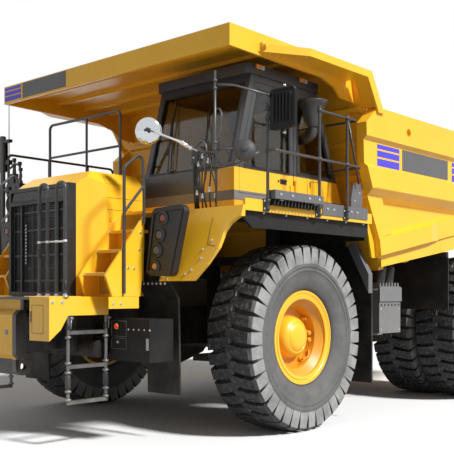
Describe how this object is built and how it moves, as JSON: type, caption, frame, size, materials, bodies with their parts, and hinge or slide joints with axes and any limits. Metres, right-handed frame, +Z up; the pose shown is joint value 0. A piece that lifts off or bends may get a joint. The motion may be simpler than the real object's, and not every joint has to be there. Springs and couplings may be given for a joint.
{
  "type": "mining dump truck",
  "caption": "Rigid mining dump truck with a tipping rock body, canopy over the cab, twin rear wheels, steered front wheels and boarding ladders.",
  "frame": {"origin": "on the ground, under the middle of the overall length and width", "axes": "+X forward, +Y to the driver's left, +Z up"},
  "size_m": [9.8, 5.13, 4.3199],
  "materials": {
    "yellow_paint": "gloss",
    "dark_paint": "satin",
    "black_paint": "satin",
    "frame_paint": "satin",
    "tyre_rubber": "matte",
    "tinted_glass": "gloss",
    "chromed_rod": "polished",
    "engine_iron": "matte",
    "trim_plastic": "matte"
  },
  "bodies": {
    "chassis": {"main_frame": "yellow_paint", "front_bumper": "yellow_paint", "front_platform": "yellow_paint", "engine_block": "engine_iron", "radiator_grille": "black_paint", "engine_hood": "yellow_paint", "deck_supports": "yellow_paint", "deck_left": "yellow_paint", "deck_right": "yellow_paint", "front_fenders": "yellow_paint", "wheel_guards": "black_paint", "headlight_clusters": "black_paint", "stairs": "yellow_paint", "access_ladders": "dark_paint", "cab_base": "yellow_paint", "cab_shell": "dark_paint", "cab_roof": "dark_paint", "cab_glass": "tinted_glass", "cab_interior": "trim_plastic", "handrails_left": "dark_paint", "handrails_right": "dark_paint", "stair_rails": "dark_paint", "mirrors": "black_paint", "tanks": "dark_paint", "side_box": "black_paint", "door_step": "dark_paint", "front_suspension": "frame_paint", "rear_axle": "frame_paint", "rear_struts": "frame_paint", "driveshaft": "dark_paint"},
    "body": {"body_floor": "yellow_paint", "body_side_left": "yellow_paint", "body_side_right": "yellow_paint", "body_front_wall": "yellow_paint", "body_canopy": "yellow_paint", "body_underframe": "yellow_paint", "body_mudguards": "black_paint"},
    "knuckle_left": {"knuckle_left": "frame_paint"},
    "knuckle_right": {"knuckle_right": "frame_paint"},
    "track_rod": {"track_rod": "frame_paint"},
    "wheel_front_left": {"rim_front_left": "yellow_paint", "tyre_front_left": "tyre_rubber"},
    "wheel_front_right": {"rim_front_right": "yellow_paint", "tyre_front_right": "tyre_rubber"},
    "wheels_rear_left": {"rims_rear_left": "yellow_paint", "tyres_rear_left": "tyre_rubber"},
    "wheels_rear_right": {"rims_rear_right": "yellow_paint", "tyres_rear_right": "tyre_rubber"},
    "door": {"cab_door": "dark_paint", "cab_door_glass": "tinted_glass"},
    "hoist_barrel_left": {"hoist_barrel_left": "frame_paint"},
    "hoist_tube_left": {"hoist_tube_left": "chromed_rod"},
    "hoist_rod_left": {"hoist_rod_left": "chromed_rod"},
    "hoist_barrel_right": {"hoist_barrel_right": "frame_paint"},
    "hoist_tube_right": {"hoist_tube_right": "chromed_rod"},
    "hoist_rod_right": {"hoist_rod_right": "chromed_rod"}
  },
  "joints": [
    {"name": "body_tip", "type": "hinge", "parent": "chassis", "child": "body", "pos_m": [-3.16, 0, 1.72], "axis": [0, -1, 0], "range_deg": [0, 48]},
    {"name": "steer_left", "type": "hinge", "parent": "chassis", "child": "knuckle_left", "pos_m": [2.19, 1.45, 1.06], "axis": [0, 0, 1], "range_deg": [-39, 39]},
    {"name": "steer_right", "type": "hinge", "parent": "chassis", "child": "knuckle_right", "pos_m": [2.19, -1.45, 1.06], "axis": [0, 0, 1], "range_deg": [-39, 39]},
    {"name": "track_rod_pivot", "type": "hinge", "parent": "knuckle_left", "child": "track_rod", "pos_m": [1.81, 1.45, 0.881], "axis": [0, 0, 1], "range_deg": [-39, 39]},
    {"name": "wheel_front_left_spin", "type": "hinge", "parent": "knuckle_left", "child": "wheel_front_left", "pos_m": [2.19, 1.7575, 1.06], "axis": [0, 1, 0], "continuous": true},
    {"name": "wheel_front_right_spin", "type": "hinge", "parent": "knuckle_right", "child": "wheel_front_right", "pos_m": [2.19, -1.7575, 1.06], "axis": [0, 1, 0], "continuous": true},
    {"name": "wheels_rear_left_spin", "type": "hinge", "parent": "chassis", "child": "wheels_rear_left", "pos_m": [-2.11, 1.54, 1.06], "axis": [0, 1, 0], "continuous": true},
    {"name": "wheels_rear_right_spin", "type": "hinge", "parent": "chassis", "child": "wheels_rear_right", "pos_m": [-2.11, -1.54, 1.06], "axis": [0, 1, 0], "continuous": true},
    {"name": "hoist_left_swing", "type": "hinge", "parent": "chassis", "child": "hoist_barrel_left", "pos_m": [-1.01, 0.705, 0.8], "axis": [0, -1, 0], "range_deg": [0, 25.01]},
    {"name": "hoist_left_stage_one", "type": "slide", "parent": "hoist_barrel_left", "child": "hoist_tube_left", "axis": [0.158, 0, 0.9874], "range_m": [0, 0.8686]},
    {"name": "hoist_left_stage_two", "type": "slide", "parent": "hoist_tube_left", "child": "hoist_rod_left", "axis": [0.158, 0, 0.9874], "range_m": [0, 0.8686]},
    {"name": "hoist_right_swing", "type": "hinge", "parent": "chassis", "child": "hoist_barrel_right", "pos_m": [-1.01, -0.705, 0.8], "axis": [0, -1, 0], "range_deg": [0, 25.01]},
    {"name": "hoist_right_stage_one", "type": "slide", "parent": "hoist_barrel_right", "child": "hoist_tube_right", "axis": [0.158, 0, 0.9874], "range_m": [0, 0.8686]},
    {"name": "hoist_right_stage_two", "type": "slide", "parent": "hoist_tube_right", "child": "hoist_rod_right", "axis": [0.158, 0, 0.9874], "range_m": [0, 0.8686]},
    {"name": "cab_door_hinge", "type": "hinge", "parent": "chassis", "child": "door", "pos_m": [2.11, 1.824, 3.2], "axis": [0, 0, 1], "range_deg": [0, 28]}
  ],
  "couplings": [
    {"joint": "steer_right", "follows": "steer_left", "ratio": 1},
    {"joint": "track_rod_pivot", "follows": "steer_left", "ratio": -1},
    {"joint": "hoist_left_swing", "follows": "body_tip", "ratio": 0.52076},
    {"joint": "hoist_left_stage_one", "follows": "body_tip", "m_per_rad": 1.0362},
    {"joint": "hoist_left_stage_two", "follows": "body_tip", "m_per_rad": 1.0362},
    {"joint": "hoist_right_swing", "follows": "body_tip", "ratio": 0.52076},
    {"joint": "hoist_right_stage_one", "follows": "body_tip", "m_per_rad": 1.0362},
    {"joint": "hoist_right_stage_two", "follows": "body_tip", "m_per_rad": 1.0362}
  ]
}
